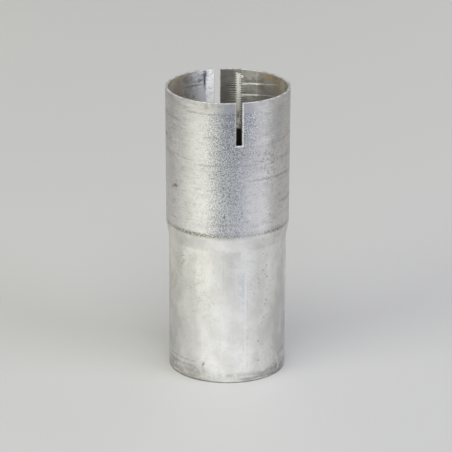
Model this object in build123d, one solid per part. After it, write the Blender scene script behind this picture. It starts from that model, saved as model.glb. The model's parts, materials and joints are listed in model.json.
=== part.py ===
"""Slotted pipe-connecting sleeve: a thin welded tube with its upper end swaged up into a socket.

The sleeve stands on its plain end, the spigot.  Z runs up the tube's axis and z = 0 is the
spigot's end face.  A pipe of the nominal size slides into the socket at the top, where two
opposite slots let the wall close on it under a band clamp.  The wall is one strip of sheet,
rolled until its edges meet, and those edges are joined along the whole tube by one weld.
"""

import os
from math import atan2, tan

from build123d import *

# ---- driving dimensions, mm and degrees --------------------------------------------------
PIPE_DIAMETER = 76.0            # nominal pipe size, and the spigot's outside diameter
WALL = 1.5                      # sheet thickness, the same in the spigot and the socket
SOCKET_ROOM = 0.3               # radial gap between the socket and a pipe of the nominal size

SPIGOT_LENGTH = 90.0            # straight part below the shoulder
SHOULDER_LENGTH = 10.0          # height over which the wall swells, corner bends included
SOCKET_LENGTH = 90.0            # straight part above the shoulder
SHOULDER_BEND = 8.0             # outside radius of the shoulder's upper corner bend

SLOT_WIDTH = 4.0
SLOT_DEPTH = 28.0               # measured down from the rim
SLOT_CORNER = 0.5               # radius at the two bottom corners of a slot

WELD_WIDTH = 3.6                # weld metal along the joint of the rolled strip
WELD_ANGLE = 69.3               # direction of the weld from +X, turning towards +Y
END_EDGE = 0.25                 # rounding of the cut edges at both ends

# ---- sizes that follow from them ---------------------------------------------------------
SPIGOT_RADIUS = PIPE_DIAMETER / 2
SOCKET_RADIUS = SPIGOT_RADIUS + SOCKET_ROOM + WALL
TOTAL_LENGTH = SPIGOT_LENGTH + SHOULDER_LENGTH + SOCKET_LENGTH
SWELL = SOCKET_RADIUS - SPIGOT_RADIUS
PAST = 5.0                      # how far a cutting tool runs past the surface it cuts


def shoulder_corners():
    """Heights of the two sharp corners that the shoulder's bends are drawn into.

    The bends start where the straight parts end, so each sharp corner lies one tangent
    length inside the shoulder.  That length and the cone's angle depend on each other, and
    a few rounds settle them.
    """
    inset = 0.0
    for _ in range(20):
        half_angle = atan2(SWELL, SHOULDER_LENGTH - 2 * inset) / 2
        inset = SHOULDER_BEND * tan(half_angle)
    low = SPIGOT_LENGTH + inset
    high = SPIGOT_LENGTH + SHOULDER_LENGTH - inset
    return low, high, half_angle


def wall_section():
    """Half section of the sheet: the outer line, and the same line one wall further in."""
    low, high, half_angle = shoulder_corners()
    lift = WALL * tan(half_angle)
    outer = [
        (SPIGOT_RADIUS, 0),
        (SPIGOT_RADIUS, low),
        (SOCKET_RADIUS, high),
        (SOCKET_RADIUS, TOTAL_LENGTH),
    ]
    inner = [
        (SOCKET_RADIUS - WALL, TOTAL_LENGTH),
        (SOCKET_RADIUS - WALL, high + lift),
        (SPIGOT_RADIUS - WALL, low + lift),
        (SPIGOT_RADIUS - WALL, 0),
    ]
    section = make_face(Polyline(*outer, *inner, close=True))

    # each bend keeps one wall between its outside and its inside radius
    bends = [
        ((SPIGOT_RADIUS, low), SHOULDER_BEND),
        ((SOCKET_RADIUS, high), SHOULDER_BEND),
        ((SOCKET_RADIUS - WALL, high + lift), SHOULDER_BEND - WALL),
        ((SPIGOT_RADIUS - WALL, low + lift), SHOULDER_BEND + WALL),
    ]
    for (radius, height), bend in bends:
        corner = section.vertices().sort_by_distance((radius, height, 0))[0]
        section = fillet(corner, bend)

    end_corners = section.vertices().filter_by(
        lambda corner: corner.Y < WALL or corner.Y > TOTAL_LENGTH - WALL
    )
    section = fillet(end_corners, END_EDGE)
    return Plane.XZ * section


def slot_cutter():
    """One flat bar across the whole mouth, which cuts both slots; its lower edges are round."""
    bar = Box(
        SLOT_WIDTH,
        2 * (SOCKET_RADIUS + PAST),
        SLOT_DEPTH + PAST,
        align=(Align.CENTER, Align.CENTER, Align.MIN),
    )
    lower_edges = bar.edges().filter_by(Axis.Y).group_by(Axis.Z)[0]
    bar = fillet(lower_edges, SLOT_CORNER)
    return Pos(0, 0, TOTAL_LENGTH - SLOT_DEPTH) * bar


def weld_zone():
    """A parallel-sided slab, wider than the wall is thick, that holds all the weld metal."""
    slab = Box(
        SOCKET_RADIUS + PAST,
        WELD_WIDTH,
        TOTAL_LENGTH + 2 * PAST,
        align=(Align.MIN, Align.CENTER, Align.MIN),
    )
    return Rot(0, 0, WELD_ANGLE) * (Pos(0, 0, -PAST) * slab)


tube = revolve(wall_section(), Axis.Z, 360) - slot_cutter()
zone = weld_zone()

pieces = {
    "tube_wall": tube - zone,   # the rolled strip, open along the weld
    "seam_weld": tube & zone,   # the weld metal that closes it
}

os.makedirs("parts", exist_ok=True)
for name, shape in pieces.items():
    export_step(shape, f"parts/{name}.step")
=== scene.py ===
"""Looks of the slotted pipe sleeve: a welded, aluminised tube with one end swaged into a socket.

Lengths are metres, turns round the tube are polar angles from +X towards +Y in radians, and
heights run up the tube's axis from its foot.  Only the marks that the finishes list, and the
lights, are placed in degrees, and the marks' sizes are in millimetres.
"""
import json
import math

import bpy
import numpy as np
from mathutils import Matrix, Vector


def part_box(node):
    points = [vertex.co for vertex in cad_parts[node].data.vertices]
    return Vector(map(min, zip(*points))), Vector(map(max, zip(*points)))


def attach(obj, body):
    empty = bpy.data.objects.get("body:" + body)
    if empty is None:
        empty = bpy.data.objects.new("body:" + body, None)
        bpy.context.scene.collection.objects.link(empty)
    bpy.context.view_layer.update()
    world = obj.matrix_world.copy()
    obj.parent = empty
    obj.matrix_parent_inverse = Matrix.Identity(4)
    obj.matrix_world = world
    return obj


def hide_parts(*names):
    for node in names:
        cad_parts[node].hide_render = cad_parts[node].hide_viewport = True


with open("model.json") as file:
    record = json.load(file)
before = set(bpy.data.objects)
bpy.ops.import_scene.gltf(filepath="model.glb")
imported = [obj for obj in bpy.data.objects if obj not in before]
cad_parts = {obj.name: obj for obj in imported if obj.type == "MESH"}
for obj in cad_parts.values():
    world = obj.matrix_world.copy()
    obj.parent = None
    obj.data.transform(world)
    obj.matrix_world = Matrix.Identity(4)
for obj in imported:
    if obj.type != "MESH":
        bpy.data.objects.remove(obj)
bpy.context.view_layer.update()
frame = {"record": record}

MM = 0.001
WHITE = (1.0, 1.0, 1.0)

# ---- sizes that the frame gives ----
mounts = {mount["name"]: mount for mount in frame["record"]["mounts"]}
SPIGOT_RADIUS = mounts["spigot"]["dims"]["r_mm"] * MM
SOCKET_RADIUS = mounts["clamp_seat"]["dims"]["r_mm"] * MM
WALL = SOCKET_RADIUS - mounts["socket_bore"]["dims"]["r_mm"] * MM
SPIGOT_LENGTH = mounts["spigot"]["dims"]["length_mm"] * MM
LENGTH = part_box("tube_wall")[1].z
SHOULDER_TOP = LENGTH - mounts["socket_bore"]["dims"]["length_mm"] * MM
WELD_LOW, WELD_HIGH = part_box("seam_weld")

# ---- sizes that the tube's making gives ----
SHOULDER_BEND = 8 * MM          # outside radius of both bends of the shoulder
SLOT_WIDTH = 4 * MM
SLOT_DEPTH = 28 * MM
SLOT_FLOOR = LENGTH - SLOT_DEPTH
WELD_WIDTH = 3.6 * MM
CUT_ROUNDING = 0.2 * MM         # worn-off sharpness of every cut edge
ROUNDING_POINTS = 4             # points along each quarter circle of a rounded edge
SHARP_EDGE = math.radians(50)   # faces that meet at more than this are shaded with a crease
CHATTER_PITCH = 1.55 * MM       # spacing of the scarfing tool's cross ridges along the weld
CHATTER_LIFT = 0.05 * MM        # how far those ridges stand in from the weld
MOUTH_SPREAD = 0.17 * MM        # how much the rim stands out past the socket's nominal radius
NECK_PINCH = 0.10 * MM          # how much the socket's lower end falls short of it

FRONT_SLOT_DEGREES = -90
REAR_SLOT_DEGREES = 90
FRONT_SLOT = math.radians(FRONT_SLOT_DEGREES)
REAR_SLOT = math.radians(REAR_SLOT_DEGREES)
SLOT_HALF_TURN = math.asin(SLOT_WIDTH / 2 / SOCKET_RADIUS)
WELD_TURN = math.atan2(WELD_LOW.y + WELD_HIGH.y, WELD_LOW.x + WELD_HIGH.x)
WELD_HALF_TURN = WELD_WIDTH / 2 / SPIGOT_RADIUS
OPPOSITE_WELD = WELD_TURN - math.pi

# ---- how closely the wall is gridded ----
EDGE_CLOSE = 0.35 * MM          # first grid line in from a cut edge
EDGE_NEXT = 1.2 * MM            # second one
WELD_EDGE_NEXT = 1.0 * MM       # second one in from the weld's two ends
ROUND_STEP = 1.35 * MM          # round the tube
HEIGHT_STEP = 1.4 * MM          # up the tube
SHOULDER_STEP = 0.6 * MM        # up the shoulder and the tool's groove above it
WELD_HEIGHT_STEP = 0.31 * MM    # a fifth of the chatter pitch
WELD_COLUMNS = 13
ROUND_OFF = 1e-6                # so that a gap of a whole number of steps gets no extra one

# ---- camera ----
CAMERA_AZIMUTH = math.radians(-10.4)
CAMERA_ELEVATION = math.radians(19.83)
CAMERA_ROLL = math.radians(0.175)
CAMERA_DISTANCE = 1.6158
CAMERA_LENS = 197.9             # millimetres, as is the sensor's width
SENSOR_WIDTH = 36
CLIP_END = 20
AIM_HEIGHT = 94.8 * MM
AIM_SIDE = -0.96 * MM           # towards the view's left, so the tube stands right of centre


def turned(axis, angle):
    """Rotation matrix about X, Y or Z, as a 3 x 3 array."""
    cosine, sine = math.cos(angle), math.sin(angle)
    first, second = {"X": (1, 2), "Y": (2, 0), "Z": (0, 1)}[axis]
    matrix = np.eye(3)
    matrix[first, first] = matrix[second, second] = cosine
    matrix[first, second] = -sine
    matrix[second, first] = sine
    return matrix


def place(thing, rotation, position):
    """Puts a camera or light at a position, with a 3 x 3 rotation."""
    matrix = np.eye(4)
    matrix[:3, :3] = rotation
    matrix[:3, 3] = position
    thing.matrix_world = Matrix(matrix.tolist())


def make_camera():
    """Long-lens camera, a little to the left of the front slot and looking down at the tube."""
    data = bpy.data.cameras.new("camera")
    data.lens = CAMERA_LENS
    data.sensor_width = SENSOR_WIDTH
    data.clip_end = CLIP_END
    camera = bpy.data.objects.new("camera", data)
    bpy.context.scene.collection.objects.link(camera)
    rotation = turned("Z", CAMERA_AZIMUTH) @ turned("X", math.pi / 2 - CAMERA_ELEVATION)
    rotation = rotation @ turned("Z", CAMERA_ROLL)
    level = turned("Z", CAMERA_AZIMUTH)
    aim = level @ np.array([AIM_SIDE, 0, 0]) + [0, 0, AIM_HEIGHT]
    back = level @ np.array([0, -math.cos(CAMERA_ELEVATION), math.sin(CAMERA_ELEVATION)])
    place(camera, rotation, aim + CAMERA_DISTANCE * back)
    bpy.context.scene.camera = camera


make_camera()


# ---- the tube's shape ----
def smooth_step(value, low, high):
    """0 below low, 1 above high, and 3t^2 - 2t^3 between them."""
    t = np.clip((value - low) / (high - low), 0, 1)
    return t * t * (3 - 2 * t)


def bump(value, centre, half_width):
    """A bell, exp(-(distance / half width)^2), one high at the centre."""
    return np.exp(-((value - centre) / half_width) ** 2)


def turn_gap(turn, centre):
    """Signed angle from centre to turn, the short way round."""
    return (turn - centre + math.pi) % (2 * math.pi) - math.pi


def patch(turn, height, centre_turn, centre_height, half_width, half_height):
    """A bell-shaped patch on the wall, with its half sizes in metres along and up the wall."""
    along = turn_gap(turn, centre_turn) * SPIGOT_RADIUS
    return bump(along, 0, half_width) * bump(height, centre_height, half_height)


def ripple(turn, height, seed, waves, turn_counts, wave_lengths):
    """Sum of cosine waves over the wall, each with its own phase, scaled to about -1 ... 1.

    Every wave has a whole number of crests round the tube, so the sum closes on itself, and a
    length up the tube between the two given ones.
    """
    rng = np.random.default_rng(seed)
    total = 0
    for _ in range(waves):
        count = rng.integers(turn_counts[0], turn_counts[1] + 1)
        length = rng.uniform(*wave_lengths)
        phase = rng.uniform(0, 2 * math.pi)
        total = total + np.cos(count * turn + 2 * math.pi * height / length + phase)
    return total / math.sqrt(waves)


def nominal_radius(height):
    """Outside radius by height: spigot, hollow arc, cone, crowned arc, socket.

    The cone's angle and the arcs' tangent lengths are those of two bends of the same radius
    that fill the shoulder's height.  Each follows from the other, so they are worked out by
    turns, many times over, until they settle.
    """
    swell = SOCKET_RADIUS - SPIGOT_RADIUS
    inset = 0.0
    for _ in range(20):
        half_angle = math.atan2(swell, SHOULDER_TOP - SPIGOT_LENGTH - 2 * inset) / 2
        inset = SHOULDER_BEND * math.tan(half_angle)
    reach = SHOULDER_BEND * math.sin(2 * half_angle)
    up = np.clip(height - SPIGOT_LENGTH, 0, reach)
    down = np.clip(SHOULDER_TOP - height, 0, reach)
    hollow = SPIGOT_RADIUS + SHOULDER_BEND - np.sqrt(SHOULDER_BEND ** 2 - up ** 2)
    crown = SOCKET_RADIUS - SHOULDER_BEND + np.sqrt(SHOULDER_BEND ** 2 - down ** 2)
    cone = SPIGOT_RADIUS + (height - SPIGOT_LENGTH - inset) * math.tan(2 * half_angle)
    radius = np.where(height < SPIGOT_LENGTH + reach, hollow, cone)
    return np.where(height > SHOULDER_TOP - reach, crown, radius)


def outside_radius(turn, height):
    """Nominal radius plus what forming and handling left, all of it under half a millimetre."""
    in_socket = smooth_step(height, SHOULDER_TOP - 2 * MM, SHOULDER_TOP + 4 * MM)
    up_socket = np.clip((height - SHOULDER_TOP) / (LENGTH - SHOULDER_TOP), 0, 1)
    radius = nominal_radius(height)
    radius = radius + in_socket * (up_socket * (MOUTH_SPREAD + NECK_PINCH) - NECK_PINCH)

    # slightly out of round, and not the same at both ends
    radius = radius + 0.07 * MM * np.cos(2 * turn + 0.6) * (0.4 + height / LENGTH)
    radius = radius + 0.03 * MM * np.cos(3 * turn - 1.1)

    # rings left by the swaging mandrel, broken up round the tube
    rings = ripple(
        turn, height, seed=11, waves=6, turn_counts=(0, 2), wave_lengths=(5 * MM, 14 * MM),
    )
    broken = ripple(
        turn, height, seed=12, waves=5, turn_counts=(1, 4), wave_lengths=(40 * MM, 120 * MM),
    )
    radius = radius + 0.012 * MM * in_socket * rings * (0.55 + 0.45 * broken)

    # soft unevenness from the rollers
    uneven = ripple(
        turn, height, seed=13, waves=9, turn_counts=(2, 7), wave_lengths=(22 * MM, 70 * MM),
    )
    radius = radius + 0.02 * MM * uneven

    # hollows from handling: turn, height, half width, half height, depth
    for centre_turn, centre_height, half_width, half_height, depth in (
        (-1.9, 0.066, 9 * MM, 13 * MM, 0.06 * MM),
        (2.6, 0.128, 12 * MM, 8 * MM, 0.05 * MM),
        (0.4, 0.150, 8 * MM, 10 * MM, 0.07 * MM),
    ):
        hollow = patch(turn, height, centre_turn, centre_height, half_width, half_height)
        radius = radius - depth * hollow

    # the swaging tool's edge leaves a shallow, uneven groove just above the shoulder
    wavering = ripple(turn, 0, seed=14, waves=5, turn_counts=(1, 9), wave_lengths=(1, 2))
    line = SHOULDER_TOP + 1.2 * MM + 0.25 * MM * wavering
    radius = radius - 0.05 * MM * bump(height, line, 0.8 * MM)

    # the corners beside the slots have sprung out or in a little: slot, left lift, right lift
    lip = smooth_step(height, LENGTH - 1.2 * SLOT_DEPTH, LENGTH)
    lip_reach = 9 * MM
    for slot, left_lift, right_lift in (
        (FRONT_SLOT, 0.10, -0.06),
        (REAR_SLOT, -0.10, 0.16),
    ):
        gap = turn_gap(turn, slot) * SOCKET_RADIUS
        left = left_lift * bump(np.minimum(gap, 0), 0, lip_reach) * (gap < 0)
        right = right_lift * bump(np.maximum(gap, 0), 0, lip_reach) * (gap >= 0)
        radius = radius + MM * lip * (left + right)
    return radius


def wall_point(turn, height, depth):
    """Point of the wall at a turn and height, depth below its outside and square to it.

    The outward direction is radial, leaned by the slope of the radius over the height.
    """
    step = 0.05 * MM
    radius = outside_radius(turn, height)
    above, below = outside_radius(turn, height + step), outside_radius(turn, height - step)
    slope = (above - below) / (2 * step)
    level = 1 / np.sqrt(1 + slope ** 2)
    across = radius - depth * level
    upward = np.clip(height + depth * slope * level, 0, None)
    return np.stack([across * np.cos(turn), across * np.sin(turn), upward], axis=-1)


def spaced(marks, step):
    """Rising values that hit every mark, with even gaps of at most one step between marks."""
    runs = [np.array(marks[:1], float)]
    for low, high in zip(marks[:-1], marks[1:]):
        pieces = max(1, math.ceil((high - low) / step - ROUND_OFF))
        runs.append(np.linspace(low, high, pieces + 1)[1:])
    return np.concatenate(runs)


def thick_sheet(name, turns, heights, keep, surface=wall_point):
    """Closed mesh of a sheet of the wall's thickness over a grid of turns and heights.

    keep says which grid cells hold metal.  The outside and inside are the kept cells on the
    surface at depth 0 and at one wall.  Round every border runs a band whose section is two
    quarter circles of the cut rounding joined by a straight: for an angle p along a quarter,
    the border draws back by rounding * (1 - sin p) at a depth of rounding * (1 - cos p).
    The first and last turns butt against another piece, so the band there is left square.
    """
    columns, rows = len(turns), len(heights)
    around = np.pad(keep.astype(int), 1)
    below_left, below_right = around[:-1, :-1], around[1:, :-1]
    above_left, above_right = around[:-1, 1:], around[1:, 1:]
    filled = below_left + below_right + above_left + above_right
    used = filled > 0
    border = used & (filled < 4)
    out_turn = np.sign(below_left + above_left - below_right - above_right) * border
    out_height = np.sign(below_left + below_right - above_left - above_right) * border
    out_turn[[0, -1], :] = 0

    turn_grid, height_grid = np.meshgrid(turns, heights, indexing="ij")
    quarter = np.linspace(0, math.pi / 2, ROUNDING_POINTS)
    draw_back = CUT_ROUNDING * (1 - np.sin(quarter))
    sink = CUT_ROUNDING * (1 - np.cos(quarter))
    draw_back = np.concatenate([draw_back, draw_back[::-1]])
    sink = np.concatenate([sink, WALL - sink[::-1]])
    last = len(sink) - 1

    points, ids, count = [], [], 0
    for layer in range(last + 1):
        chosen = used if layer in (0, last) else border
        moved_turn = turn_grid - out_turn * draw_back[layer] / SOCKET_RADIUS
        moved_height = height_grid - out_height * draw_back[layer]
        depth = np.full(turn_grid.shape, sink[layer])
        where = surface(moved_turn, moved_height, depth)
        index = np.full((columns, rows), -1)
        index[chosen] = count + np.arange(chosen.sum())
        count += int(chosen.sum())
        points.append(where[chosen])
        ids.append(index)

    outer, inner = ids[0], ids[last]
    cells_i, cells_j = np.nonzero(keep)
    right_i, upper_j = cells_i + 1, cells_j + 1
    ring = [(cells_i, cells_j), (right_i, cells_j), (right_i, upper_j), (cells_i, upper_j)]
    faces = [
        np.stack([outer[corner] for corner in ring], axis=-1),
        np.stack([inner[corner] for corner in ring[::-1]], axis=-1),
    ]
    kinds = [np.zeros(len(cells_i), int), np.ones(len(cells_i), int)]

    # borders along the turns (top and bottom edges), then along the heights (side edges)
    below, above = around[1:-1, :-1], around[1:-1, 1:]
    left, right = around[:-1, 1:-1], around[1:, 1:-1]
    for wanted, step_i, step_j, forward in (
        (below > above, 1, 0, True),
        (below < above, 1, 0, False),
        (left > right, 0, 1, False),
        (left < right, 0, 1, True),
    ):
        i, j = np.nonzero(wanted)
        start, end = (i, j), (i + step_i, j + step_j)
        if not forward:
            start, end = end, start
        for upper, lower in zip(ids[:-1], ids[1:]):
            band = np.stack([upper[start], upper[end], lower[end], lower[start]], axis=-1)
            faces.append(band)
            kinds.append(np.full(len(i), 2))

    points = np.concatenate(points)
    faces = np.concatenate(faces)
    mesh = bpy.data.meshes.new(name)
    mesh.from_pydata(points.tolist(), [], faces.tolist())
    mesh.polygons.foreach_set("material_index", np.concatenate(kinds).astype(np.int32))
    mesh.polygons.foreach_set("use_smooth", np.ones(len(faces), bool))
    mesh.set_sharp_from_angle(angle=SHARP_EDGE)
    mesh.update()
    piece = bpy.data.objects.new(name, mesh)
    bpy.context.scene.collection.objects.link(piece)
    return piece


def make_tube_skin():
    """The rolled strip, from one side of the weld round to the other, with its two slots."""
    near, next_to = EDGE_CLOSE / SOCKET_RADIUS, EDGE_NEXT / SOCKET_RADIUS
    start = WELD_TURN + WELD_HALF_TURN
    end = WELD_TURN + 2 * math.pi - WELD_HALF_TURN
    marks = [start, start + next_to, end - next_to, end]
    slots = [REAR_SLOT, FRONT_SLOT + 2 * math.pi]
    for slot in slots:
        for side in (-1, 1):
            edge = slot + side * SLOT_HALF_TURN
            marks += [edge - next_to, edge - near, edge, edge + near, edge + next_to]
    turns = spaced(sorted(marks), ROUND_STEP / SOCKET_RADIUS)

    below_shoulder, above_shoulder = SPIGOT_LENGTH - 2 * MM, SHOULDER_TOP + 4 * MM
    low_part = [0, EDGE_CLOSE, EDGE_NEXT]
    shoulder = list(spaced([below_shoulder, above_shoulder], SHOULDER_STEP))
    high_part = [SLOT_FLOOR + off for off in (-EDGE_NEXT, -EDGE_CLOSE, 0, EDGE_CLOSE, EDGE_NEXT)]
    rim = [LENGTH - EDGE_NEXT, LENGTH - EDGE_CLOSE, LENGTH]
    heights = spaced(low_part + shoulder + high_part + rim, HEIGHT_STEP)

    middle_turn = (turns[1:] + turns[:-1]) / 2
    middle_height = (heights[1:] + heights[:-1]) / 2
    in_slot = np.zeros(len(middle_turn), bool)
    for slot in slots:
        in_slot |= np.abs(middle_turn - slot) < SLOT_HALF_TURN
    keep = ~(in_slot[:, None] & (middle_height > SLOT_FLOOR)[None, :])
    return thick_sheet("tube_skin", turns, heights, keep)


def weld_point(turn, height, depth):
    """The wall's own surface, with the scarfing tool's cross ridges on its inside.

    The ridges are a cosine over the height, which wanders a little and fades at the strip's
    two sides and at the ends of the tube.
    """
    point = wall_point(turn, height, depth)
    across = turn_gap(turn, WELD_TURN) / WELD_HALF_TURN
    inside = smooth_step(depth, WALL / 2, WALL)
    wander = ripple(
        turn, height, seed=21, waves=4, turn_counts=(0, 1), wave_lengths=(12 * MM, 40 * MM),
    )
    ridges = np.cos(2 * math.pi * height / CHATTER_PITCH + 0.5 * wander + 0.5 * across)
    from_end = np.minimum(height, LENGTH - height)
    fade = np.clip(1 - across ** 2, 0, 1) * smooth_step(from_end, 0, 3 * MM)
    lift = CHATTER_LIFT * inside * fade * ridges
    point[..., 0] -= lift * np.cos(turn)
    point[..., 1] -= lift * np.sin(turn)
    return point


def make_weld_skin():
    """The weld's strip of metal: the same wall, on the few degrees that the strip leaves open."""
    turns = WELD_TURN + np.linspace(-WELD_HALF_TURN, WELD_HALF_TURN, WELD_COLUMNS)
    foot = [0, EDGE_CLOSE, WELD_EDGE_NEXT]
    rim = [LENGTH - WELD_EDGE_NEXT, LENGTH - EDGE_CLOSE, LENGTH]
    heights = spaced(foot + rim, WELD_HEIGHT_STEP)
    keep = np.ones((len(turns) - 1, len(heights) - 1), bool)
    return thick_sheet("weld_skin", turns, heights, keep, surface=weld_point)


# ---- shader kit ----
def place_round(turn):
    """Distance round the wall, from the line opposite the weld, of a turn in degrees."""
    return turn_gap(math.radians(turn), OPPOSITE_WELD) * SPIGOT_RADIUS


class Wire:
    """A shader socket that Python arithmetic works on: each operator adds one Math node."""

    def __init__(self, finish, socket):
        self.finish = finish
        self.socket = socket

    def __add__(self, other):
        return self.finish.math("ADD", self, other)

    __radd__ = __add__

    def __sub__(self, other):
        return self.finish.math("SUBTRACT", self, other)

    def __rsub__(self, other):
        return self.finish.math("SUBTRACT", other, self)

    def __mul__(self, other):
        return self.finish.math("MULTIPLY", self, other)

    __rmul__ = __mul__

    def __truediv__(self, other):
        return self.finish.math("DIVIDE", self, other)


class Finish:
    """One material: makes nodes, joins them, and ends in a single metal or glowing shader."""

    def __init__(self, name):
        self.material = bpy.data.materials.new(name)
        self.material.use_nodes = True
        self.tree = self.material.node_tree
        self.tree.nodes.clear()
        self.place = self.node("ShaderNodeTexCoord", out="Object")
        parts = self.node("ShaderNodeSeparateXYZ", links={"Vector": self.place}, out=None)
        self.x, self.y, self.z = (Wire(self, parts.outputs[axis]) for axis in "XYZ")
        facing = self.x * math.cos(OPPOSITE_WELD) + self.y * math.sin(OPPOSITE_WELD)
        sideways = self.y * math.cos(OPPOSITE_WELD) - self.x * math.sin(OPPOSITE_WELD)
        self.along = self.math("ARCTAN2", sideways, facing) * SPIGOT_RADIUS

    def node(self, kind, settings=None, links=None, out=0):
        """Any node: its settings are set first, then its sockets get values or wires."""
        node = self.tree.nodes.new(kind)
        for key, value in (settings or {}).items():
            setattr(node, key, value)
        for key, value in (links or {}).items():
            socket = node.inputs[key]
            if isinstance(value, Wire):
                self.tree.links.new(value.socket, socket)
            elif value is not None:
                socket.default_value = value
        if out is None:
            return node
        return Wire(self, node.outputs[out])

    def math(self, operation, first, second=None, third=None, clamp=False):
        """One Math node on numbers or wires."""
        settings = {"operation": operation, "use_clamp": clamp}
        return self.node("ShaderNodeMath", settings, {0: first, 1: second, 2: third})

    def clamped(self, value):
        """A wire held between 0 and 1."""
        return self.math("ADD", value, 0.0, clamp=True)

    def bell(self, value, centre, half_width):
        """exp(-(distance / half width)^2) of a wire."""
        off = (value - centre) / half_width
        return self.math("EXPONENT", off * off * -1)

    def step(self, value, low, high):
        """Smooth step from 0 at low to 1 at high; low may be the larger one."""
        settings = {"interpolation_type": "SMOOTHSTEP", "clamp": True}
        links = {"Value": value, "From Min": low, "From Max": high, "To Min": 0.0, "To Max": 1.0}
        return self.node("ShaderNodeMapRange", settings, links)

    def blend(self, factor, first, second):
        """Colour mix; first and second are wires or (r, g, b)."""
        def colour(value):
            return value if isinstance(value, Wire) else (*value, 1)
        settings = {"data_type": "RGBA", "blend_type": "MIX", "clamp_result": True}
        links = {"Factor": factor, 6: colour(first), 7: colour(second)}
        node = self.node("ShaderNodeMix", settings, links, out=None)
        return Wire(self, node.outputs[2])

    def noise(self, grain, detail=3.0, rough=0.5, shift=0.0, twist=0.0):
        """Fractal noise, 0 ... 1 about 0.5; grain is the size of its lumps along X, Y and Z."""
        scale = tuple(1 / size for size in grain)
        scaled = self.node(
            "ShaderNodeVectorMath", {"operation": "MULTIPLY_ADD"},
            {0: self.place, 1: scale, 2: (shift, 1.7 * shift, -0.6 * shift)},
        )
        links = {
            "Vector": scaled, "Scale": 1.0, "Detail": detail, "Roughness": rough,
            "Distortion": twist,
        }
        return self.node("ShaderNodeTexNoise", {"noise_dimensions": "3D"}, links, out="Fac")

    def scaled(self, value, low, high):
        """0 where a wire is at low, 1 where it is at high, straight on beyond both."""
        return self.math("MULTIPLY_ADD", value, 1 / (high - low), -low / (high - low))

    def from_line(self, turn):
        """Distance round the wall from the vertical line at a turn in degrees."""
        return self.along - place_round(turn)

    def smudge(self, turn, height, half_width, half_height, sharp=1.0):
        """Soft patch centred at a turn in degrees; the other sizes are in millimetres."""
        centre = place_round(turn)
        off_x = self.scaled(self.along, centre, centre + half_width * MM)
        off_z = self.scaled(self.z, height * MM, (height + half_height) * MM)
        square = self.math("MULTIPLY_ADD", off_z, off_z, off_x * off_x)
        return self.math("EXPONENT", square * -sharp)

    def line(self, turns, heights, half_width, wander):
        """Thin mark from one turn (degrees) and height (millimetres) to another.

        The wander, a wire in metres, moves it up and down, and both its ends fade out.  The
        turns stay on one side of the weld, where the distance round the wall jumps.
        """
        along = self.scaled(self.along, place_round(turns[0]), place_round(turns[1]))
        rise = (heights[1] - heights[0]) / half_width
        level = self.scaled(self.z + wander, heights[0] * MM, (heights[0] + half_width) * MM)
        off = self.math("MULTIPLY_ADD", along, -rise, level)
        span = self.step(along, 0.0, 0.15) * self.step(along, 1.0, 0.7)
        return self.math("EXPONENT", off * off * -1) * span

    def lamp(self, colour, strength):
        """A surface that only glows."""
        links = {
            "Base Color": (0, 0, 0, 1), "Roughness": 1.0, "Specular IOR Level": 0.0,
            "Emission Color": colour, "Emission Strength": strength,
        }
        shader = self.node("ShaderNodeBsdfPrincipled", {}, links)
        self.node("ShaderNodeOutputMaterial", {}, {"Surface": shader}, out=None)
        return self.material

    def metal(self, colour, roughness, relief, relief_height, metallic, sheen=0.5):
        """Principled metal, with a bump of the given relief (0 ... 1) and height in metres.

        sheen is the specular level of whatever part is not metallic.
        """
        normal = self.node(
            "ShaderNodeBump", {}, {"Strength": 1.0, "Distance": relief_height, "Height": relief},
            out="Normal",
        )
        links = {
            "Base Color": colour, "Roughness": roughness, "Metallic": metallic, "Normal": normal,
            "Specular IOR Level": sheen,
        }
        shader = self.node("ShaderNodeBsdfPrincipled", {}, links)
        self.node("ShaderNodeOutputMaterial", {}, {"Surface": shader}, out=None)
        return self.material


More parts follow.
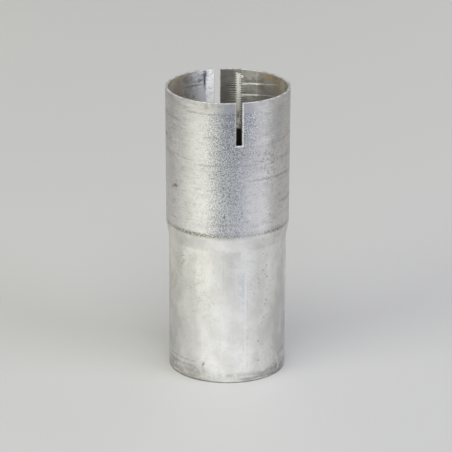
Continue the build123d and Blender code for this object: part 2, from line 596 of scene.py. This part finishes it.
# ---- materials ----
def outside_sheet():
    """The coated sheet's outside: matt and pale on the spigot, worked darker and grainy above.

    The swaged socket is a smoother, greyer metal with fine flecks and broken rings; the
    untouched spigot keeps its whitish oxide, its draw lines, a few pits and handling scuffs.
    Some of the colour is painted light: a highlight on the spigot and round the slots, a bluish
    reflection line down the spigot, reflection in the flecked band facing the camera, and shade
    on the foot and in the tool's groove.
    """
    f = Finish("aluminised_sheet_outside")
    cloud = f.noise((11 * MM, 11 * MM, 15 * MM), detail=4.0, shift=3.1)
    mottle = f.noise((2.8 * MM, 2.8 * MM, 3.0 * MM), detail=4.0, rough=0.65, shift=7.7)
    curl = f.noise((7 * MM, 7 * MM, 6 * MM), detail=2.0, rough=0.6, shift=9.9, twist=1.0)
    draw_lines = f.noise((0.8 * MM, 0.8 * MM, 45 * MM), detail=3.0, shift=1.9)
    streaks = f.noise((10 * MM, 10 * MM, 1.9 * MM), detail=4.0, rough=0.6, shift=5.3)
    grain = f.noise((0.64 * MM, 0.64 * MM, 0.70 * MM), detail=2.0, rough=0.7, shift=2.2)

    ragged = (mottle - 0.5) * 3 * MM
    worked = f.step(f.z + 0.5 * ragged, SHOULDER_TOP + 0.4 * MM, SHOULDER_TOP + 1.8 * MM)
    below_rim = f.step(f.z + ragged, LENGTH - 4.5 * MM, LENGTH - 7.5 * MM)
    # a band round the line that faces the camera at the start: real grain there, with painted
    # reflection in its flecks
    reflection_and_grain_band = f.bell(f.from_line(-101), 0.0, 14.5 * MM)
    reflection_and_grain_band = reflection_and_grain_band * f.step(f.from_line(-120), -6 * MM, 3 * MM)
    reflection_and_grain_band = f.clamped(reflection_and_grain_band + 0.6 * f.smudge(-80, 178, 6, 16))

    # oxide on the spigot
    spigot_tone = f.blend(f.step(cloud, 0.3, 0.7), (0.78, 0.78, 0.74), (0.94, 0.94, 0.91))
    spigot_tone = f.blend(0.40 * f.step(mottle, 0.48, 0.72), spigot_tone, (0.66, 0.66, 0.63))
    spigot_tone = f.blend(0.25 * f.step(draw_lines, 0.55, 0.75), spigot_tone, (0.60, 0.60, 0.59))
    spigot_tone = f.blend(0.30 * f.step(streaks, 0.60, 0.75), spigot_tone, (0.60, 0.60, 0.57))

    # burnished metal on the socket: duller towards the rim, stained, streaked round the tube
    dull = 0.35 * f.step(cloud, 0.7, 0.3) + 0.65 * f.scaled(f.z, SHOULDER_TOP, LENGTH)
    socket_tone = f.blend(f.clamped(dull), (0.92, 0.92, 0.91), (0.64, 0.64, 0.65))
    streaked = 1 - 0.7 * reflection_and_grain_band
    for strength, texture, low, high, tint in (
        (0.45, mottle, 0.50, 0.75, (0.45, 0.45, 0.45)),
        (0.50, streaks, 0.50, 0.72, (0.42, 0.43, 0.44)),
        (0.30, streaks, 0.46, 0.30, (0.98, 0.98, 0.96)),
    ):
        socket_tone = f.blend(strength * streaked * f.step(texture, low, high), socket_tone, tint)

    # fine flecks of the coating: dark and bright flecks, in a broad band beside the front slot and
    # faintly elsewhere.
    # The flecks are real grain. Their strength, dark bluish tint and the bluish draw lines in the
    # band facing the camera are painted reflection.
    flecks_and_reflection = below_rim * (0.20 + 0.80 * reflection_and_grain_band)
    drawn = 0.25 * reflection_and_grain_band * f.step(draw_lines, 0.50, 0.66)
    socket_tone = f.blend(drawn, socket_tone, (0.50, 0.53, 0.64))
    dark_flecks = 0.95 * flecks_and_reflection * f.step(grain, 0.53, 0.59)
    socket_tone = f.blend(dark_flecks, socket_tone, (0.22, 0.26, 0.31))
    bright_flecks = flecks_and_reflection * f.step(grain, 0.47, 0.40)
    socket_tone = f.blend(bright_flecks, socket_tone, WHITE)
    colour = f.blend(worked, spigot_tone, socket_tone)

    # rubbed and slanting marks: turns, heights, half width, strength
    marks = 0.0
    wander = (curl - 0.5) * 2 * MM
    for turns, heights, half_width, strength in (
        ((-84, -8), (138.6, 136.8), 0.70, 0.55),
        ((-132, -62), (148.3, 148.8), 0.60, 0.42),
        ((-118, -84), (109.0, 109.4), 0.8, 0.45),
        ((-120, -70), (119.0, 118.6), 0.7, 0.30),
        ((-125, -95), (167.0, 167.4), 0.8, 0.35),
        ((-145, -72), (182.2, 182.6), 0.5, 0.50),
        ((-60, 10), (160.5, 163.0), 0.9, 0.32),
        ((-52, 0), (150.0, 147.5), 1.1, 0.34),
        ((-45, 5), (119.0, 121.0), 1.3, 0.34),
        ((174, -145), (150.0, 152.5), 1.2, 0.26),
        ((175, -140), (176.0, 174.5), 1.1, 0.30),
        ((-178, -126), (12.4, 12.9), 0.45, 0.50),
        ((-174, -132), (8.6, 9.4), 0.50, 0.50),
        ((-48, -18), (12.5, 15.5), 1.8, 0.30),
        ((-168, -100), (1.0, 0.7), 0.5, 0.60),
        ((-90, -25), (2.4, 1.2), 0.6, 0.50),
        ((90, 170), (152.0, 155.5), 0.6, 0.45),
        ((0, 60), (128.0, 134.0), 0.6, 0.45),
    ):
        marks = marks + strength * f.line(turns, heights, half_width, wander)
    marks = f.clamped(marks) * f.step(mottle, 0.30, 0.52)
    colour = f.blend(marks, colour, (0.27, 0.27, 0.27))

    # fine curling rubs, in a few places only: turn, height, half width, half height, strength
    rubs = 0.0
    for turn, height, half_width, half_height, strength in (
        (-60, 148, 9, 17, 1.00),
        (-92, 156, 7, 6, 0.45),
        (-150, 84, 9, 9, 0.50),
        (-128, 60, 10, 18, 0.45),
        (-72, 72, 8, 14, 0.40),
        (-165, 165, 8, 16, 0.55),
        (130, 110, 20, 40, 0.40),
    ):
        rubs = rubs + strength * f.smudge(turn, height, half_width, half_height)
    colour = f.blend(f.clamped(rubs) * f.bell(curl, 0.5, 0.016), colour, (0.32, 0.32, 0.32))

    # stains and smudges: turn, height, half width, half height, strength, tint
    broken = f.step(mottle, 0.34, 0.58)
    for turn, height, half_width, half_height, strength, tint in (
        (-157, 130.4, 3.2, 1.1, 0.95, (0.22, 0.21, 0.19)),
        (-161, 128.6, 1.4, 1.6, 0.80, (0.25, 0.24, 0.22)),
        (-121, 186.4, 1.8, 0.7, 0.60, (0.30, 0.28, 0.24)),
        (-109, 187.8, 2.2, 0.7, 0.60, (0.30, 0.28, 0.24)),
        (-150, 185, 9.0, 2.5, 0.40, (0.40, 0.38, 0.33)),
        (-68, 160, 2.4, 0.9, 0.50, (0.36, 0.36, 0.42)),
        (-180, 161, 3.0, 1.4, 0.85, (0.22, 0.21, 0.20)),
        # the next two bluish patches, in the band facing the camera, are painted reflection
        (-80, 177, 3.5, 10.0, 0.35, (0.45, 0.42, 0.56)),
        (-99, 178, 5.0, 9.0, 0.60, (0.30, 0.33, 0.40)),
        (-79, 114, 1.0, 2.0, 0.90, WHITE),
        (-82, 120, 8.0, 24.0, 0.60, WHITE),
        (-120, 188.3, 9.0, 1.3, 0.65, (0.40, 0.38, 0.34)),
        # the rows from 3.5 to 7 mm high darken the foot: painted shade where the tube stands
        (-168, 6, 9.0, 4.5, 0.70, (0.36, 0.36, 0.33)),
        (-135, 7, 8.0, 3.5, 0.60, (0.36, 0.35, 0.31)),
        (-124, 11.2, 1.0, 2.2, 0.95, (0.22, 0.21, 0.19)),
        (-60, 3.5, 9.0, 2.5, 0.55, (0.36, 0.35, 0.31)),
        (-38, 4, 11.0, 4.5, 0.90, (0.24, 0.24, 0.23)),
        (-98, 5.2, 7.0, 1.6, 0.45, (0.40, 0.39, 0.33)),
        # painted highlight: the next row brightens the spigot's middle facing the camera
        (-112, 48, 15.0, 15.0, 0.50, (1.0, 1.0, 0.97)),
        # painted reflection: the next row is a bluish line down the spigot's right side
        (-15, 52, 3.2, 34.0, 0.60, (0.66, 0.70, 0.86)),
        (-45, 13, 8.0, 8.0, 0.40, (0.58, 0.59, 0.54)),
        (-25, 30, 4.0, 16.0, 0.45, (0.62, 0.63, 0.75)),
        (-87, 64, 2.8, 12.0, 0.50, (0.70, 0.71, 0.81)),
        (-162, 66, 4.0, 9.0, 0.45, (0.66, 0.62, 0.48)),
        (100, 30, 9.0, 5.0, 0.45, (0.36, 0.35, 0.31)),
        (20, 60, 6.0, 10.0, 0.35, (0.50, 0.50, 0.48)),
        (140, 120, 9.0, 12.0, 0.40, (0.44, 0.43, 0.40)),
    ):
        patch_mask = f.smudge(turn, height, half_width, half_height)
        colour = f.blend(strength * patch_mask * broken, colour, tint)

    # painted shade on the foot, streaked round the tube and darker away from the middle, and a
    # painted shadow line where it stands
    off_middle = f.math("ABSOLUTE", f.from_line(-104))
    painted_foot_shade = f.step(f.z + ragged, 11 * MM, 1.5 * MM)
    painted_foot_shade = painted_foot_shade * (0.25 + 0.75 * f.step(off_middle, 4 * MM, 22 * MM))
    painted_foot_shade = 0.65 * painted_foot_shade * (0.30 + 0.70 * f.step(streaks, 0.38, 0.56))
    colour = f.blend(painted_foot_shade, colour, (0.30, 0.30, 0.28))
    colour = f.blend(0.75 * f.step(f.z, 1.1 * MM, 0.5 * MM), colour, (0.16, 0.16, 0.15))

    # the soft, dotted dark line along the swaging tool's groove above the shoulder: partly a mark
    # that the tool's edge has left, partly painted shade in the groove
    groove_mark_and_shade = f.bell(f.z - 0.4 * ragged, SHOULDER_TOP + 1.5 * MM, 1.5 * MM)
    heavy = f.bell(f.from_line(-132), 0.0, 22 * MM)
    heavy = heavy + 0.8 * f.bell(f.from_line(-50), 0.0, 12 * MM)
    groove_mark_and_shade = groove_mark_and_shade * (0.25 + 0.85 * heavy) * (0.25 + 0.75 * f.step(grain, 0.44, 0.56))
    colour = f.blend(f.clamped(groove_mark_and_shade), colour, (0.20, 0.19, 0.155))

    # pinholes in the spigot's coating: a crop of them right of the front, a few larger ones
    pits_per_metre, pit_half_width = 330.0, 0.45
    cells = {"Vector": f.place, "Scale": pits_per_metre}
    pits = f.node("ShaderNodeTexVoronoi", {"feature": "F1"}, cells)
    crop = f.step(f.smudge(-65, 58, 5.5, 32), 0.25, 0.45) * f.step(cloud, 0.40, 0.50)
    pits = 0.8 * f.step(pits, 0.22, 0.12) * (1 - worked) * crop
    for turn, height in (
        (-63.4, 75.8), (-68.0, 67.6), (-68.7, 27.4), (-68.5, 14.0), (-58, 113.5), (-47, 7.5),
        (110, 75),
    ):
        pits = pits + f.smudge(turn, height, pit_half_width, pit_half_width)
    colour = f.blend(0.85 * f.clamped(pits), colour, (0.20, 0.20, 0.19))

    # the bright draw line down the front, with a dull one each side
    off_line = f.from_line(-82.5)
    dull_lines = f.bell(off_line, 1.3 * MM, 0.4 * MM) + f.bell(off_line, -1.5 * MM, 0.4 * MM)
    span = f.step(f.z, 3 * MM, 12 * MM) * f.step(f.z, 82 * MM, 60 * MM)
    span = span * (0.35 + 0.65 * f.step(mottle, 0.36, 0.54))
    span = span * (0.50 + 0.50 * f.step(f.z, 40 * MM, 56 * MM))
    colour = f.blend(0.22 * span * dull_lines, colour, (0.52, 0.52, 0.56))
    colour = f.blend(0.55 * span * f.bell(off_line, 0.0, 0.55 * MM), colour, WHITE)

    # painted highlight: a pale edging round both slots, where their cut edges catch the light,
    # fainter left of the front one
    from_front, from_rear = f.from_line(FRONT_SLOT_DEGREES), f.from_line(REAR_SLOT_DEGREES)
    gap = f.math("MINIMUM", f.math("ABSOLUTE", from_front), f.math("ABSOLUTE", from_rear))
    sides = f.bell(gap, SLOT_WIDTH / 2 + 0.28 * MM, 0.38 * MM)
    sides = sides * f.step(f.z, SLOT_FLOOR - 0.8 * MM, SLOT_FLOOR)
    sides = sides * (0.30 + 0.70 * f.step(from_front, -MM, MM))
    below = f.bell(f.z, SLOT_FLOOR - 0.4 * MM, 0.42 * MM)
    below = below * f.step(gap, SLOT_WIDTH / 2 + 0.7 * MM, SLOT_WIDTH / 2 + 0.2 * MM)
    painted_edge_highlight = f.clamped(sides + below) * (0.60 + 0.40 * f.step(mottle, 0.35, 0.55))
    colour = f.blend(0.85 * painted_edge_highlight, colour, (1.0, 1.0, 0.98))

    roughness = 0.48 + 0.08 * (cloud - 0.5) - 0.10 * worked
    roughness = roughness + 0.12 * marks + 0.10 * (mottle - 0.5)
    metallic = 0.86 + 0.09 * worked - 0.45 * painted_edge_highlight
    relief = 0.30 * draw_lines * (1 - worked) + 0.45 * mottle
    relief = relief + worked * (0.4 + 1.9 * flecks_and_reflection) * grain + 0.6 * streaks * worked
    relief = relief - 0.8 * f.bell(f.z, SHOULDER_TOP + 1.3 * MM, 0.8 * MM)
    return f.metal(colour, roughness, relief, 0.045 * MM, metallic)


def inside_sheet():
    """The coated sheet's inside: duller, with brown blooms, stains and the tool's ticks, painted
    light and shade beside the rear slot, and painted shade down the bore.
    """
    f = Finish("aluminised_sheet_inside")
    cloud = f.noise((6 * MM, 6 * MM, 5 * MM), detail=4.0, rough=0.6, shift=5.1)
    smear = f.noise((8 * MM, 8 * MM, 1.0 * MM), detail=4.0, rough=0.65, shift=8.2)
    drip = f.noise((1.0 * MM, 1.0 * MM, 7 * MM), detail=4.0, rough=0.65, shift=3.7)
    grain = f.noise((0.8 * MM, 0.8 * MM, 0.8 * MM), detail=3.0, rough=0.6, shift=4.2)
    swirl = f.noise((4.5 * MM, 4.5 * MM, 2.6 * MM), detail=3.0, rough=0.6, shift=6.6, twist=1.2)
    from_slot = f.from_line(REAR_SLOT_DEGREES)
    from_weld = f.y * math.cos(WELD_TURN) - f.x * math.sin(WELD_TURN)
    facing_weld = f.x * math.cos(WELD_TURN) + f.y * math.sin(WELD_TURN)
    at_weld = f.math("GREATER_THAN", facing_weld, 0.0)

    colour = f.blend(f.step(cloud, 0.35, 0.65), (0.36, 0.35, 0.32), (0.60, 0.59, 0.55))
    colour = f.blend(0.45 * f.step(smear, 0.50, 0.70), colour, (0.78, 0.78, 0.76))
    colour = f.blend(0.40 * f.step(smear, 0.46, 0.32), colour, (0.22, 0.21, 0.20))
    colour = f.blend(0.35 * f.step(drip, 0.52, 0.70), colour, (0.72, 0.72, 0.70))

    # blooms and stains: turn, height, half width, half height, strength, tint
    broken = 0.35 + 0.65 * f.step(cloud, 0.38, 0.56)
    for turn, height, half_width, half_height, strength, tint in (
        (140, 176, 8, 12, 0.90, (0.44, 0.33, 0.26)),
        (112, 186.5, 5, 4.0, 0.90, (0.95, 0.97, 1.0)),
        (138, 189, 8, 1.6, 0.75, (0.70, 0.66, 0.42)),
        (150, 186, 5, 2.5, 0.55, (0.72, 0.60, 0.36)),
        (165, 180, 9, 12, 0.50, (0.50, 0.47, 0.42)),
        (31, 187.3, 8, 2.2, 0.95, (0.72, 0.52, 0.24)),
        (22, 181, 5, 6, 0.65, (0.42, 0.32, 0.20)),
        (57, 182, 8, 9, 0.60, (0.86, 0.87, 0.82)),
        (38, 176, 8, 7, 0.45, (0.26, 0.25, 0.21)),
        (12, 183, 3.4, 9, 0.75, (0.66, 0.62, 0.42)),
        (5.5, 184, 0.8, 6, 0.80, (0.20, 0.16, 0.10)),
        (56, 187, 7, 3.5, 0.55, (0.80, 0.80, 0.76)),
        (78, 188.5, 4, 1.8, 0.65, (0.86, 0.86, 0.84)),
        (108, 189, 5, 1.5, 0.70, (0.95, 0.95, 1.0)),
        (-20, 170, 16, 20, 0.5, (0.36, 0.32, 0.26)),
        (-120, 150, 18, 16, 0.5, (0.40, 0.36, 0.30)),
    ):
        patch_mask = f.smudge(turn, height, half_width, half_height)
        colour = f.blend(strength * patch_mask * broken, colour, tint)

    # beside the rear slot: painted light, a bright strip, then haze on one side, and painted shade
    # on the other
    wavy = (drip - 0.5) * 4 * MM + (smear - 0.5) * 2 * MM
    edge = from_slot + wavy
    # painted light: a bright strip by the slot's edge, where the bent lip catches the light
    painted_slot_light = f.step(edge, 8.4 * MM, 6.0 * MM) * f.step(from_slot, 0.5 * MM, 1.6 * MM)
    hazy = f.step(from_slot, 5.0 * MM, 7.0 * MM) * f.step(edge, 22 * MM, 9 * MM)
    # painted shade: the strip on the slot's other side is painted darker
    dark = f.step(from_slot, -1.2 * MM, -2.2 * MM) * f.step(edge, -12.6 * MM, -10.0 * MM)
    lighter = 0.20 * f.smudge(106, 173, 5, 8)
    bright_haze = f.step(swirl + lighter, 0.42, 0.58)
    haze_tone = f.blend(bright_haze, (0.34, 0.37, 0.48), (0.95, 0.97, 1.0))
    colour = f.blend(0.85 * hazy, colour, haze_tone)
    painted_slot_light_tone = f.blend(f.step(swirl, 0.32, 0.50), (0.72, 0.73, 0.79), WHITE)
    colour = f.blend(0.95 * painted_slot_light, colour, painted_slot_light_tone)
    colour = f.blend(0.52 * dark * (0.6 + 0.4 * broken), colour, (0.20, 0.19, 0.165))

    # a dark nick where the painted light beside the slot ends, with a smear running on from it
    nick = f.smudge(102.8, 182.5, 0.9, 4.8, sharp=1.2) * f.step(drip, 0.22, 0.38)
    nick = f.clamped(nick + 0.65 * f.smudge(114, 180.4, 6.0, 0.6))
    colour = f.blend(0.95 * nick, colour, (0.05, 0.05, 0.08))

    # cross ticks of the scarfing tool on both sides of the weld, fading with distance
    ticks = f.math("COSINE", f.z * (2 * math.pi / CHATTER_PITCH) + 5.0 * smear)
    ragged = from_weld + 2.2 * wavy
    ticked = f.step(ragged, -6 * MM, -1.5 * MM) * f.step(ragged, 8 * MM, 1.5 * MM) * at_weld
    ticked = ticked * (0.40 + 0.60 * f.step(f.z + wavy, 186 * MM, 176 * MM))
    colour = f.blend(0.80 * ticked * f.step(ticks, 0.2, 0.9), colour, (0.90, 0.90, 0.86))
    colour = f.blend(0.40 * ticked * f.step(ticks, -0.3, -0.9), colour, (0.16, 0.155, 0.14))

    # bright scratches, most of them climbing away from the weld, and one thin line up the wall
    wander = (cloud - 0.5) * 1.5 * MM
    scratches = 0.0
    for turns, heights, half_width, strength in (
        ((69, 63.6), (185.6, 184.6), 0.9, 1.0),
        ((68, 44), (179.9, 181.4), 0.42, 1.0),
        ((56, 20), (180.4, 184.4), 0.30, 0.45),
        ((68, 46), (172.4, 174.0), 0.42, 1.0),
        ((56, 24), (173.2, 175.6), 0.30, 0.40),
        ((150, 110), (150, 153), 0.4, 0.7),
        ((-60, 20), (140, 147), 0.4, 0.7),
    ):
        scratches = scratches + strength * f.line(turns, heights, half_width, wander)
    up_wall = f.bell(f.from_line(50.4), 0.0, 0.35 * MM) * f.step(f.z, 168 * MM, 176 * MM)
    scratches = f.clamped(scratches + 0.22 * up_wall)
    colour = f.blend(scratches, colour, (1.0, 1.0, 0.97))

    # bare, bright lip just inside the rim, and painted shade down the bore, darkest by the weld,
    # where the bore is unlit
    lip = f.step(f.z + 0.2 * wavy, LENGTH - 1.0 * MM, LENGTH - 0.4 * MM)
    colour = f.blend(0.5 * lip, colour, (0.92, 0.92, 0.90))
    painted_bore_shade = f.step(f.z + wavy, 158 * MM, 136 * MM) * f.step(f.z, 20 * MM, 60 * MM)
    colour = f.blend(0.70 * painted_bore_shade, colour, (0.05, 0.048, 0.045))
    # painted shade: the wall beside the weld is painted near black from about 150 mm down
    painted_depth_shade = f.step(f.z + 0.5 * wavy, 151 * MM, 147.5 * MM) * f.step(f.z, 98 * MM, 134 * MM)
    painted_depth_shade = painted_depth_shade * f.bell(from_weld, 0.0, 5 * MM) * at_weld
    colour = f.blend(0.95 * painted_depth_shade, colour, (0.015, 0.015, 0.015))

    pale = f.clamped(painted_slot_light * 0.85 + scratches * 0.7 + 0.24 * hazy * bright_haze)
    roughness = 0.42 + 0.25 * pale + 0.20 * (smear - 0.5) + 0.3 * painted_depth_shade
    metallic = 0.85 - 0.70 * pale
    relief = 0.8 * smear + 0.3 * grain + 0.9 * ticked * ticks
    return f.metal(colour, roughness, relief, 0.05 * MM, metallic, sheen=0.2)


def cut_metal():
    """Sawn and punched edges: bare, bright, with fine strokes across the wall and dull spots."""
    f = Finish("cut_edge")
    strokes = f.noise((0.4 * MM, 0.4 * MM, 0.25 * MM), detail=3.0, shift=2.1)
    cloud = f.noise((3 * MM, 3 * MM, 3 * MM), detail=3.0, rough=0.6, shift=6.4)
    colour = f.blend(strokes, (0.74, 0.74, 0.71), (0.90, 0.90, 0.88))
    colour = f.blend(0.75 * f.step(cloud, 0.44, 0.60), colour, (0.40, 0.39, 0.35))
    return f.metal(colour, 0.42 + 0.15 * cloud, strokes, 0.008 * MM, metallic=0.8)


def weld_inside():
    """The scarfed weld: bare steel, ridged, with painted light making it brightest at the rim and
    painted shade further down, where the bore is unlit.
    """
    f = Finish("scarfed_weld_inside")
    grain = f.noise((1.2 * MM, 1.2 * MM, 0.5 * MM), detail=4.0, rough=0.65, shift=4.1)
    cloud = f.noise((2.4 * MM, 2.4 * MM, 4 * MM), detail=3.0, rough=0.6, shift=9.3)
    ticks = f.math("COSINE", f.z * (2 * math.pi / CHATTER_PITCH) + 3.0 * cloud)
    from_weld = f.y * math.cos(WELD_TURN) - f.x * math.sin(WELD_TURN)
    ragged = (cloud - 0.5) * 4 * MM
    top = f.step(f.z + ragged, 188 * MM, 186.6 * MM)
    # painted light: the weld is painted whiter from 164 mm up towards the rim
    painted_weld_light = f.step(f.z, 164 * MM, 180 * MM) * top
    colour = f.blend(f.step(cloud, 0.3, 0.7), (0.72, 0.71, 0.64), (0.94, 0.94, 0.88))
    colour = f.blend(0.85 * painted_weld_light, colour, (1.0, 1.0, 0.96))
    off_core = f.math("ABSOLUTE", from_weld + (cloud - 0.5) * 2.4 * MM)
    beside = f.step(off_core, 0.5 * MM, 1.3 * MM)
    valleys = f.step(ticks, 0.2, -0.6) * (0.12 + 0.88 * beside)
    colour = f.blend(0.80 * valleys, colour, (0.17, 0.165, 0.14))
    colour = f.blend(0.85 * (1 - top), colour, (0.22, 0.215, 0.19))
    colour = f.blend(0.40 * f.step(grain, 0.52, 0.66), colour, (0.28, 0.27, 0.22))
    blotched = f.step(f.z, 168 * MM, 158 * MM) * f.step(cloud + 0.4 * (grain - 0.5), 0.46, 0.54)
    colour = f.blend(0.75 * blotched, colour, (0.13, 0.12, 0.09))
    # painted shade: the weld is painted near black below about 150 mm
    painted_depth_shade = f.step(f.z + ragged, 150.5 * MM, 148.5 * MM) * f.step(f.z, 20 * MM, 60 * MM)
    painted_depth_shade = painted_depth_shade * (0.70 + 0.27 * f.step(f.z, 98 * MM, 134 * MM))
    colour = f.blend(painted_depth_shade, colour, (0.012, 0.012, 0.01))
    roughness = 0.5 + 0.12 * grain + 0.3 * painted_depth_shade
    metallic = 0.45 + 0.5 * painted_depth_shade
    return f.metal(colour, roughness, grain, 0.05 * MM, metallic, sheen=0.2)


def weld_outside():
    """The weld's outside: scarfed flush and sprayed with aluminium, so it is a little brighter."""
    f = Finish("sprayed_weld_outside")
    grain = f.noise((0.6 * MM, 0.6 * MM, 0.9 * MM), detail=4.0, rough=0.65, shift=6.1)
    strokes = f.noise((0.35 * MM, 0.35 * MM, 30 * MM), detail=3.0, shift=1.1)
    colour = f.blend(f.step(grain, 0.35, 0.7), (0.74, 0.74, 0.72), (0.90, 0.90, 0.88))
    colour = f.blend(0.4 * f.step(strokes, 0.5, 0.7), colour, (0.56, 0.56, 0.54))
    return f.metal(colour, 0.44 + 0.12 * grain, grain + 0.7 * strokes, 0.04 * MM, metallic=0.85)


def floor_finish():
    """Pale, plain, faintly uneven board, with painted light that pales it towards the back."""
    f = Finish("pale_floor")
    cloud = f.noise((0.3, 0.3, 0.3), detail=2.0)

    # painted light: paler with distance behind the tube, from 0.3 m in front of it over a run of
    # 1.5 m
    behind = f.y * math.cos(CAMERA_AZIMUTH) - f.x * math.sin(CAMERA_AZIMUTH)
    lit = f.clamped((behind + 0.3) / 1.5)
    colour = f.blend(lit, (0.475, 0.475, 0.47), (0.84, 0.84, 0.835))
    colour = f.blend(0.05 * cloud, colour, (0.45, 0.45, 0.45))
    fine = f.noise((2 * MM, 2 * MM, 2 * MM), detail=2.0)
    return f.metal(colour, 0.7 + 0.1 * cloud, fine, 0.01 * MM, metallic=0.0)


GLOW_STRENGTH = 2.0


def reflector_finish():
    """Glow of the card round the tube, by distance and by direction.

    Directions are degrees round from the camera's starting azimuth.  Each glow is a bell,
    exp((cos(turn from its middle) - 1) / (1 - cos(half width))).  The card's near ring glows
    towards the camera, and a little behind the tube.  Its far part is bright and warm on the
    left, dim and cool in the middle, and has two narrow glows on the right.
    """
    f = Finish("reflector_card")
    reach = f.math("SQRT", f.x * f.x + f.y * f.y)

    def towards(azimuth):
        """Cosine of the angle between a point of the card and a direction."""
        turn = CAMERA_AZIMUTH + math.radians(azimuth)
        return (f.x * math.sin(turn) - f.y * math.cos(turn)) / reach

    def glow(azimuth, half_width):
        """The bell in direction."""
        spread = 1 - math.cos(math.radians(half_width))
        return f.math("EXPONENT", (towards(azimuth) - 1) / spread)

    near = f.blend(glow(-4, 55), (0.12, 0.12, 0.12), (0.48, 0.475, 0.49))
    near = f.blend(0.4 * glow(155, 20), near, (0.48, 0.47, 0.55))
    far = f.blend(glow(6, 32), (0.20, 0.195, 0.185), (0.145, 0.16, 0.18))
    left = glow(-42, 42) * f.step(towards(-107), 0.0, 0.20)
    far = f.blend(left, far, (0.54, 0.53, 0.475))
    far = f.blend(0.6 * glow(36, 13), far, (0.27, 0.29, 0.325))
    far = f.blend(glow(64, 14), far, (0.42, 0.415, 0.425))
    colour = f.blend(f.step(reach, 0.15, 0.25), near, far)
    return f.lamp(colour, GLOW_STRENGTH)


# ---- pieces ----
tube_skin = make_tube_skin()
outside, inside, cut = outside_sheet(), inside_sheet(), cut_metal()
for finish in (outside, inside, cut):
    tube_skin.data.materials.append(finish)
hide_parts("tube_wall")
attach(tube_skin, "root")

weld_skin = make_weld_skin()
for finish in (weld_outside(), weld_inside(), cut):
    weld_skin.data.materials.append(finish)
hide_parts("seam_weld")
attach(weld_skin, "root")


# ---- studio ----
FLOOR_REACH = 6.0                               # from the tube's axis
REFLECTOR_NEAR, REFLECTOR_FAR = 0.045, 3.0      # from the tube's axis
REFLECTOR_HEIGHT = 2 * MM                       # above the floor
REFLECTOR_SIDES = 64
ROOM_COLOUR = (0.98, 0.97, 1, 1)
ROOM_STRENGTH = 0.326


def make_floor():
    """A flat, pale floor, far wider than the view."""
    signs = ((-1, -1), (1, -1), (1, 1), (-1, 1))
    corners = [(FLOOR_REACH * x, FLOOR_REACH * y, 0) for x, y in signs]
    mesh = bpy.data.meshes.new("floor")
    mesh.from_pydata(corners, [], [(0, 1, 2, 3)])
    mesh.materials.append(floor_finish())
    floor = bpy.data.objects.new("floor", mesh)
    bpy.context.scene.collection.objects.link(floor)


def make_reflector():
    """A glowing ring of card just above the floor, which only the metal sees."""
    count = REFLECTOR_SIDES
    turns = np.linspace(0, 2 * math.pi, count + 1)[:-1]
    around = np.stack([np.cos(turns), np.sin(turns)], axis=-1)
    points = np.full((2 * count, 3), REFLECTOR_HEIGHT)
    points[:, :2] = np.concatenate([REFLECTOR_NEAR * around, REFLECTOR_FAR * around])
    faces = [(i, count + i, count + (i + 1) % count, (i + 1) % count) for i in range(count)]
    mesh = bpy.data.meshes.new("reflector")
    mesh.from_pydata(points.tolist(), [], faces)
    mesh.materials.append(reflector_finish())
    reflector = bpy.data.objects.new("reflector", mesh)
    bpy.context.scene.collection.objects.link(reflector)
    reflector.visible_camera = False
    reflector.visible_diffuse = False
    reflector.visible_shadow = False


def soft_box(name, azimuth, elevation, distance, width, height, power, colour):
    """An area light that faces the tube's middle from an azimuth and elevation in degrees.

    Azimuths are measured from the camera's starting one, and grow towards the view's right.
    """
    turn = CAMERA_AZIMUTH + math.radians(azimuth)
    tilt = math.radians(elevation)
    data = bpy.data.lights.new(name, "AREA")
    data.shape = "RECTANGLE"
    data.size = width
    data.size_y = height
    data.energy = power
    data.color = colour
    light = bpy.data.objects.new(name, data)
    bpy.context.scene.collection.objects.link(light)
    away = turned("Z", turn) @ np.array([0, -math.cos(tilt), math.sin(tilt)])
    rotation = turned("Z", turn) @ turned("X", math.pi / 2 - tilt)
    place(light, rotation, distance * away + [0, 0, LENGTH / 2])


def make_studio():
    """Soft boxes in a grey room: two beside the camera, one above it and two behind the tube."""
    # name, azimuth, elevation, distance, width, height, watts, colour
    soft_box("left_key", -50, 30, 1.2, 0.7, 0.8, 6.0, (1.0, 1.0, 0.82))
    soft_box("right_key", 60, 30, 1.2, 0.7, 0.8, 6.0, (0.85, 0.88, 1.0))
    soft_box("front_high", 0, 55, 1.3, 0.8, 0.8, 8.5, (0.98, 0.97, 1.0))
    soft_box("left_back", -140, 25, 1.4, 0.8, 0.8, 1.8, (1.0, 1.0, 0.81))
    soft_box("right_back", 140, 25, 1.4, 0.8, 0.8, 2.3, (0.97, 1.0, 0.95))
    world = bpy.data.worlds.new("room")
    world.use_nodes = True
    room = world.node_tree.nodes["Background"].inputs
    room["Color"].default_value = ROOM_COLOUR
    room["Strength"].default_value = ROOM_STRENGTH
    bpy.context.scene.world = world
    bpy.context.scene.view_settings.view_transform = "Standard"


make_floor()
make_reflector()
make_studio()
